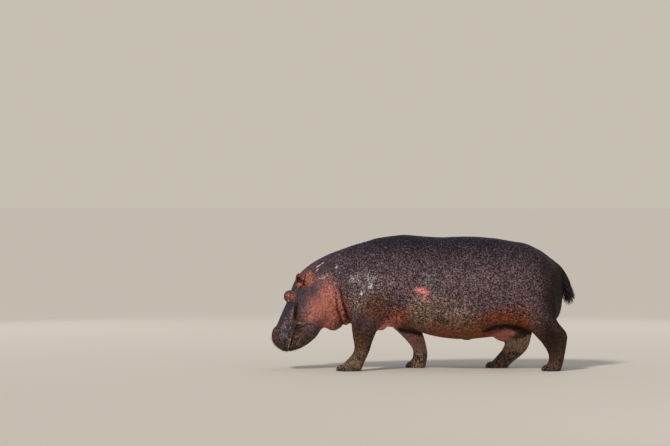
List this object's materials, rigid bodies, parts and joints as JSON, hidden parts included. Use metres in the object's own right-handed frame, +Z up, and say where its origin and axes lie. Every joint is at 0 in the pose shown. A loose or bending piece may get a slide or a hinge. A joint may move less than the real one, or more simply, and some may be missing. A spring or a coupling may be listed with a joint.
{
  "type": "hippopotamus",
  "caption": "Life-size still model of an adult hippopotamus walking with its head lowered, standing on the flat soles of its four feet.",
  "frame": {"origin": "on the floor, under the middle of the model's box", "axes": "+Z up, the head faces -X and the tail is at +X, so the animal's left side is -Y"},
  "size_m": [3.2622, 1.126, 1.455],
  "materials": {
    "hide": "bare wet-looking hide, dark purplish grey-brown on the back, pink on cheeks and throat, orange-brown on the belly",
    "ear_skin": "thin pinkish-red ear skin with a dark rim",
    "eye": "wet dark brown eye",
    "nail": "dark worn horn",
    "bristle": "coarse black bristles on the tail, ears and lips"
  },
  "bodies": {
    "root": {"ear_left": "ear_skin", "ear_right": "ear_skin", "eye_left": "eye", "eye_right": "eye", "foreleg_left": "hide", "foreleg_left_nail_inner": "nail", "foreleg_left_nail_inner_middle": "nail", "foreleg_left_nail_outer": "nail", "foreleg_left_nail_outer_middle": "nail", "foreleg_right": "hide", "foreleg_right_nail_inner": "nail", "foreleg_right_nail_inner_middle": "nail", "foreleg_right_nail_outer": "nail", "foreleg_right_nail_outer_middle": "nail", "head": "hide", "hindleg_left": "hide", "hindleg_left_nail_inner": "nail", "hindleg_left_nail_inner_middle": "nail", "hindleg_left_nail_outer": "nail", "hindleg_left_nail_outer_middle": "nail", "hindleg_right": "hide", "hindleg_right_nail_inner": "nail", "hindleg_right_nail_inner_middle": "nail", "hindleg_right_nail_outer": "nail", "hindleg_right_nail_outer_middle": "nail", "lower_jaw": "hide", "neck": "hide", "tail": "hide", "trunk": "hide"}
  },
  "joints": []
}
